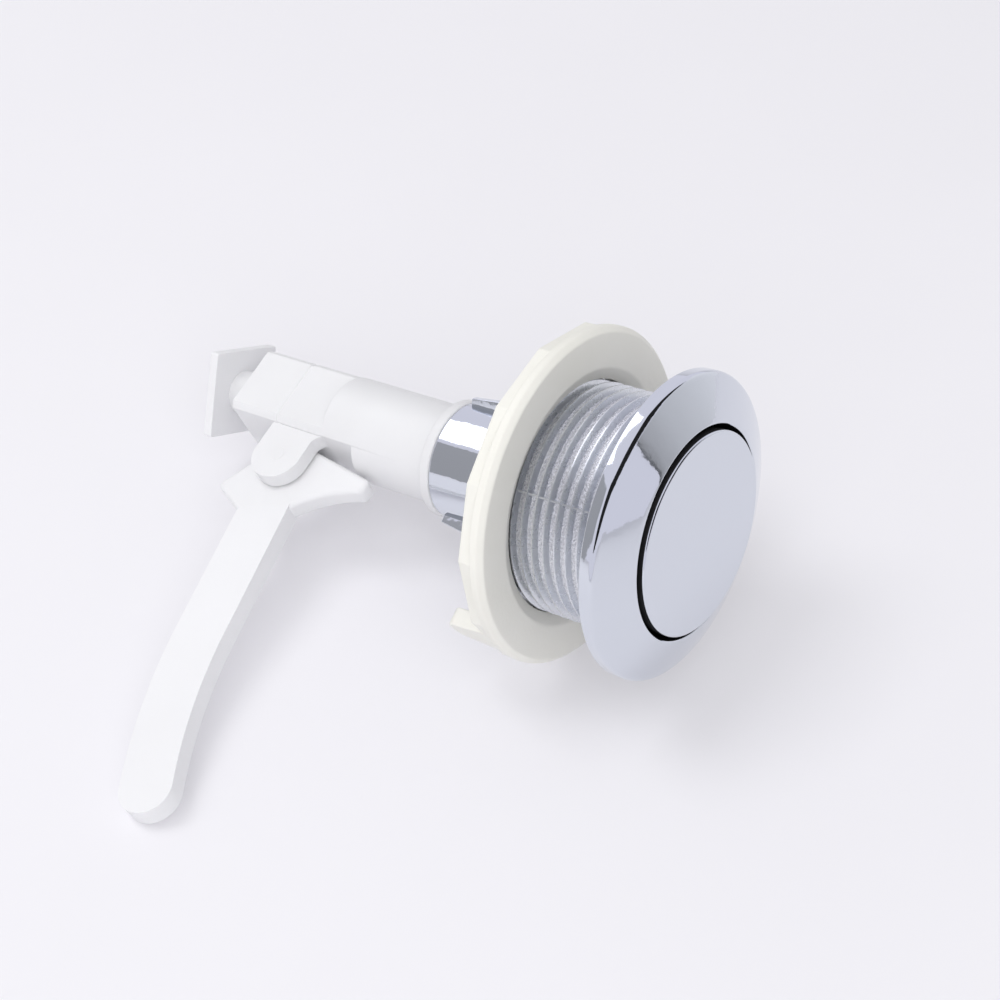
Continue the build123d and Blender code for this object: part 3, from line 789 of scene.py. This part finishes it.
round_edges(nut, sharp_edges(set(nut.faces) - before, 20), GRIP_SOFTNESS)
print("nut has", len(nut.faces), "faces before its wings")

# %% [markdown]
# Two wings point back from the nut, opposite each other, so that it can be turned by hand in a
# narrow space. Each is a tapered outline with its tip corners bevelled round.

# %% Wings of the nut
WING_ROOT, WING_TIP, WING_THICKNESS, WING_LENGTH, WING_ANGLE = 8.6, 4.6, 3.0, 7.4, 11.0
WING_TIP_ROUND, WING_SOFTNESS = 1.4, 0.3
wing_outer = grip_radius * math.cos(math.pi / NUT_SIDES)
wing_end = NUT_BACK - WING_LENGTH
wing_outline = [(-WING_ROOT / 2, RIM_BACK), (-WING_TIP / 2, wing_end),
                (WING_TIP / 2, wing_end), (WING_ROOT / 2, RIM_BACK)]

for angle in (WING_ANGLE, WING_ANGLE + 180):
    before = set(nut.faces)
    wing = slab(nut, wing_outline, WING_THICKNESS, wing_outer - WING_THICKNESS)
    tip_corners = cross_edges(wing, WING_TIP / 2, wing_end) + cross_edges(wing, -WING_TIP / 2, wing_end)
    round_edges(nut, tip_corners, WING_TIP_ROUND, 5)
    wing_faces = list(set(nut.faces) - before)
    bmesh.ops.recalc_face_normals(nut, faces=wing_faces)
    round_edges(nut, sharp_edges(wing_faces, 60), WING_SOFTNESS)
    wing_points = list({point for face in set(nut.faces) - before for point in face.verts})
    turn = Matrix.Rotation(math.radians(angle - 90), 3, "Z")
    bmesh.ops.rotate(nut, matrix=turn, cent=(0, 0, 0), verts=wing_points)
finish_piece("wing_nut", nut, "nut", "lock_nut", [cream_plastic])

# %% [markdown]
# The camera looks down on the part, which lies on its side on a table. In the part's own frame
# that view is rolled, so the camera gets its place and its three turning angles. The table's
# directions follow from the camera: it looks down at the table by a known angle.

# %% Camera and the table's directions
CAMERA_PLACE = (0.12384, -0.24144, 0.14116)
CAMERA_TURN = (-25.874, -53.6, 147.303)
LOOK_DOWN = math.radians(47.5)
LENS, SENSOR = 72.0, 36.0

camera_data = bpy.data.cameras.new("table_camera")
camera_data.lens = LENS
camera_data.sensor_width = SENSOR
camera = put_in_scene("table_camera", camera_data)
camera.location = CAMERA_PLACE
camera.rotation_euler = [math.radians(angle) for angle in CAMERA_TURN]
bpy.context.scene.camera = camera
right, view_up, view_back = [column.copy() for column in camera.rotation_euler.to_matrix().transposed()]
table_up = view_up * math.cos(LOOK_DOWN) + view_back * math.sin(LOOK_DOWN)
table_away = table_up.cross(right)
print("table's upward direction:", [round(value, 3) for value in table_up])

# %% [markdown]
# The table is a wide pale sheet that touches the lowest point of the part. It is painted on its
# upper side only: seen from below it is clear, so the part can also be looked at from behind. To
# the camera and in the chrome a quarter of it is its plain colour, which keeps the background
# pale and the shadow light.

# %% Paint for the table
TABLE_TONE, TABLE_DRIFT, PLAIN_SHARE = (0.89, 0.88, 0.915), 0.01, 0.25


def seen_directly(tree):
    """Value that is 1 for rays from the camera or from a mirror, and 0 for all others."""
    path = tree.nodes.new("ShaderNodeLightPath")
    either = tree.nodes.new("ShaderNodeMath")
    either.operation = "MAXIMUM"
    tree.links.new(path.outputs["Is Camera Ray"], either.inputs[0])
    tree.links.new(path.outputs["Is Glossy Ray"], either.inputs[1])
    return either.outputs["Value"]


table_finish, shader, place = new_finish("pale_table")
shader.inputs["Roughness"].default_value = 0.7
fibre, _ = add_grain(table_finish, place, 25.0, 0.0, 1.0)
blend_colours(table_finish, shader, fibre, [value - TABLE_DRIFT for value in TABLE_TONE], TABLE_TONE)
paint = table_finish.node_tree
plain_part = paint.nodes.new("ShaderNodeMath")
plain_part.operation = "MULTIPLY"
plain_part.inputs[1].default_value = PLAIN_SHARE
paint.links.new(seen_directly(paint), plain_part.inputs[0])
plain = paint.nodes.new("ShaderNodeEmission")
plain.inputs["Color"].default_value = (*TABLE_TONE, 1.0)
pale = mix_shaders(paint, shader.outputs["BSDF"], plain.outputs["Emission"], plain_part.outputs["Value"])
clear = paint.nodes.new("ShaderNodeBsdfTransparent").outputs["BSDF"]
from_below = paint.nodes.new("ShaderNodeNewGeometry").outputs["Backfacing"]
one_sided = mix_shaders(paint, pale, clear, from_below)
paint.links.new(one_sided, paint.nodes["Material Output"].inputs["Surface"])
print("made", table_finish.name)

# %% Lay the table under the part
TABLE_HALF_SIZE, TABLE_GAP = 3.0, 0.0001
centre = Vector((0.01, 0.0, -0.042))

lowest = min(point.co.dot(table_up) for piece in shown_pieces() for point in piece.data.vertices)
table_turn = Matrix((right, table_away, table_up)).transposed().to_4x4()
table_place = centre + table_up * (lowest - TABLE_GAP - centre.dot(table_up))
table_bm = bmesh.new()
bmesh.ops.create_grid(table_bm, x_segments=1, y_segments=1, size=TABLE_HALF_SIZE,
                      matrix=Matrix.Translation(table_place) @ table_turn)
table = mesh_object("table", table_bm, [table_finish])
table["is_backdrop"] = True
print("table lies", round((lowest - centre.dot(table_up)) * 1000, 1), "mm from the middle of the part")

# %% [markdown]
# A pale room lights the part evenly from all sides. What the camera and the bright metal see of
# it is nearly as pale as the table. A soft lamp high on the left gives the shadows their
# direction, and a wide one in front lightens them.

# %% Room
AMBIENT_TONE, AMBIENT_STRENGTH, SEEN_TONE = (0.97, 0.97, 1.0), 0.57, (0.80, 0.79, 0.87)

world = bpy.data.worlds.new("pale_room")
bpy.context.scene.world = world
world.use_nodes = True
room = world.node_tree
ambient = room.nodes["Background"]
ambient.inputs["Color"].default_value = (*AMBIENT_TONE, 1.0)
ambient.inputs["Strength"].default_value = AMBIENT_STRENGTH
seen = room.nodes.new("ShaderNodeBackground")
seen.inputs["Color"].default_value = (*SEEN_TONE, 1.0)
two_rooms = mix_shaders(room, ambient.outputs["Background"], seen.outputs["Background"], seen_directly(room))
room.links.new(two_rooms, room.nodes["World Output"].inputs["Surface"])
print("made", world.name)


# %% Lamps
def hang_lamp(name, size, energy, to_right, away, up):
    """Hang a square lamp, given in metres along the table's directions, that faces the part."""
    lamp_data = bpy.data.lights.new(name, "AREA")
    lamp_data.shape = "SQUARE"
    lamp_data.size = size
    lamp_data.energy = energy
    lamp = put_in_scene(name, lamp_data)
    lamp.location = centre + right * to_right + table_away * away + table_up * up
    lamp.rotation_euler = (lamp.location - centre).to_track_quat("Z", "Y").to_euler()
    lamp.visible_glossy = False
    print(name, "is", round((lamp.location - centre).length, 2), "m from the part")


hang_lamp("side_lamp", size=0.4, energy=2.9, to_right=-0.45, away=0.0, up=0.9)
hang_lamp("front_lamp", size=1.0, energy=4.1, to_right=0.0, away=-0.7, up=0.7)

# %% [markdown]
# Chrome looks like chrome only when it has something dark to mirror. Curved screens stand round
# the table and paint its reflections: black above the front and right, graded grey low on the
# right for the shade on the table beside the part, grey on the left, and behind a patch that glows
# brighter than white and stands for a lamp, since the lamps are hidden from mirrors. Each is an
# upright line spun through a part of a turn. Only mirrored rays see them, so they change no shadow
# and no colour.

# %% Screens that paint the chrome's reflections
COOL_TINT, STEPS_PER_DEGREE, SEAM_ANGLE = 1.04, 2, 0.01

tone_finish, shader, _ = new_finish("painted_reflection_tone")
nodes, links = tone_finish.node_tree.nodes, tone_finish.node_tree.links
tone = nodes.new("ShaderNodeVertexColor")
tone.layer_name = "tone"
glow = nodes.new("ShaderNodeEmission")
links.new(tone.outputs["Color"], glow.inputs["Color"])
links.new(glow.outputs["Emission"], nodes["Material Output"].inputs["Surface"])
nodes.remove(shader)


def tone_at(tones, angle):
    """Tone between the nearest two of a list of (angle, tone) pairs."""
    for (start, low), (end, high) in zip(tones, tones[1:]):
        if angle <= end:
            share = max(0.0, (angle - start) / (end - start))
            return low + (high - low) * share
    return tones[-1][1]


def stand_screen(name, tones, elevations, distance):
    """Spin an upright line round the table's upward axis, and grade it along its turn."""
    bm = bmesh.new()
    first, last = tones[0][0], tones[-1][0]
    ends = [bm.verts.new((distance, 0, distance * math.tan(math.radians(angle)))) for angle in elevations]
    upright = bm.edges.new(ends)
    bmesh.ops.spin(bm, geom=[*ends, upright], axis=(0, 0, 1), cent=(0, 0, 0),
                   angle=math.radians(last - first), steps=int(last - first) * STEPS_PER_DEGREE)
    layer = bm.verts.layers.float_color.new("tone")
    for point in bm.verts:
        angle = (math.degrees(math.atan2(point.co.y, point.co.x)) + SEAM_ANGLE) % 360
        value = tone_at(tones, first + angle)
        point[layer] = (value, value, value * COOL_TINT, 1.0)
    turn = Matrix.Rotation(math.radians(first), 3, "Z")
    bmesh.ops.rotate(bm, matrix=turn, cent=(0, 0, 0), verts=bm.verts)
    screen = mesh_object(name, bm, [tone_finish])
    screen.matrix_world = Matrix.Translation(centre) @ table_turn
    screen.visible_camera = screen.visible_diffuse = False
    screen.visible_shadow = screen.visible_transmission = False
    screen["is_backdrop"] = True
    print(name, "spans", round(last - first), "degrees")


# Painted reflection of the shade on the table to the right of the part.
table_shade_tones = [(-13, 0.02), (-11.5, 0.35), (-9, 0.46), (1, 0.60), (13, 0.70),
                (20, 0.77), (28, 0.85), (44, 0.88)]
# A dark room above the front and right, painted into the reflections only.
stand_screen("dark_room_reflection", [(-100, 0.02), (30, 0.02)], (17, 62), 1.2)
stand_screen("table_shade_reflection", table_shade_tones, (-8, 19), 0.3)
stand_screen("grey_reflection", [(170, 0.42), (208, 0.40)], (-2, 43), 1.0)
# A painted lamp reflection: it glows at 2.4, brighter than white.
stand_screen("lamp_reflection", [(110, 2.4), (163, 2.4)], (35, 48), 1.0)

# %% [markdown]
# The scene is complete. The standard view transform keeps colours as they are written.

# %% Keep colours as written
bpy.context.scene.view_settings.view_transform = "Standard"
